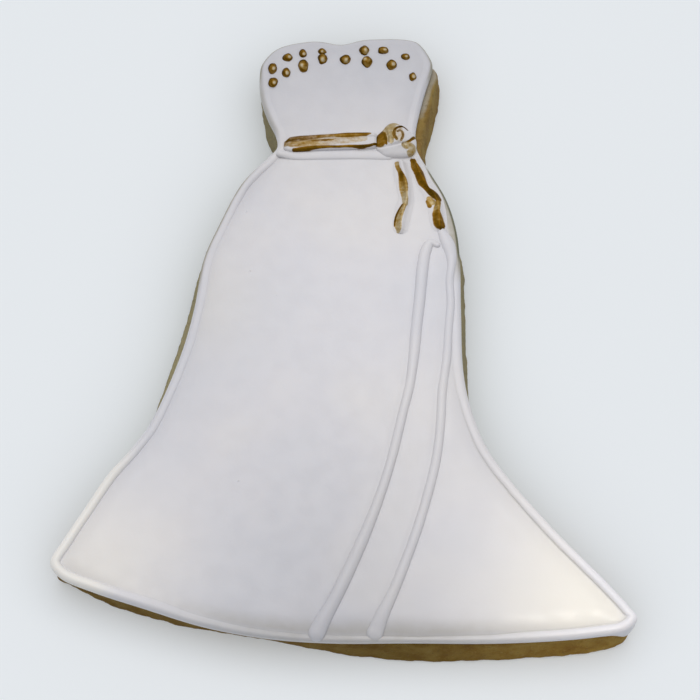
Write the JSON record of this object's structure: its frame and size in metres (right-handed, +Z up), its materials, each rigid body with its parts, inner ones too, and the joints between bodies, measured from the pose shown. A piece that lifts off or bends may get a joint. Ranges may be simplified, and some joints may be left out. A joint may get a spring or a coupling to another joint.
{
  "type": "iced sugar cookie",
  "caption": "Flat sugar cookie cut as a strapless bridal gown, with white royal icing, a piped border and drape lines, and a gold-painted waistband, flower, ribbon tails and pearls.",
  "frame": {"origin": "bottom centre of the cookie's box, on the flat underside", "axes": "+Z up through the icing, +Y from the hem to the neckline, +X to the side with the flower and the drape"},
  "size_m": [0.089, 0.1089, 0.0104],
  "materials": {
    "biscuit": "matte baked dough, fine crumb, darker at the foot and the top edge",
    "icing": "dried white royal icing, soft satin, faintly mottled",
    "gilded_icing": "white royal icing brushed with gold lustre paint, streaky, satin"
  },
  "bodies": {
    "root": {"biscuit": "biscuit", "icing": "icing", "sash": "gilded_icing", "rosette": "gilded_icing", "ribbon_left": "gilded_icing", "ribbon_right": "gilded_icing"}
  },
  "joints": []
}
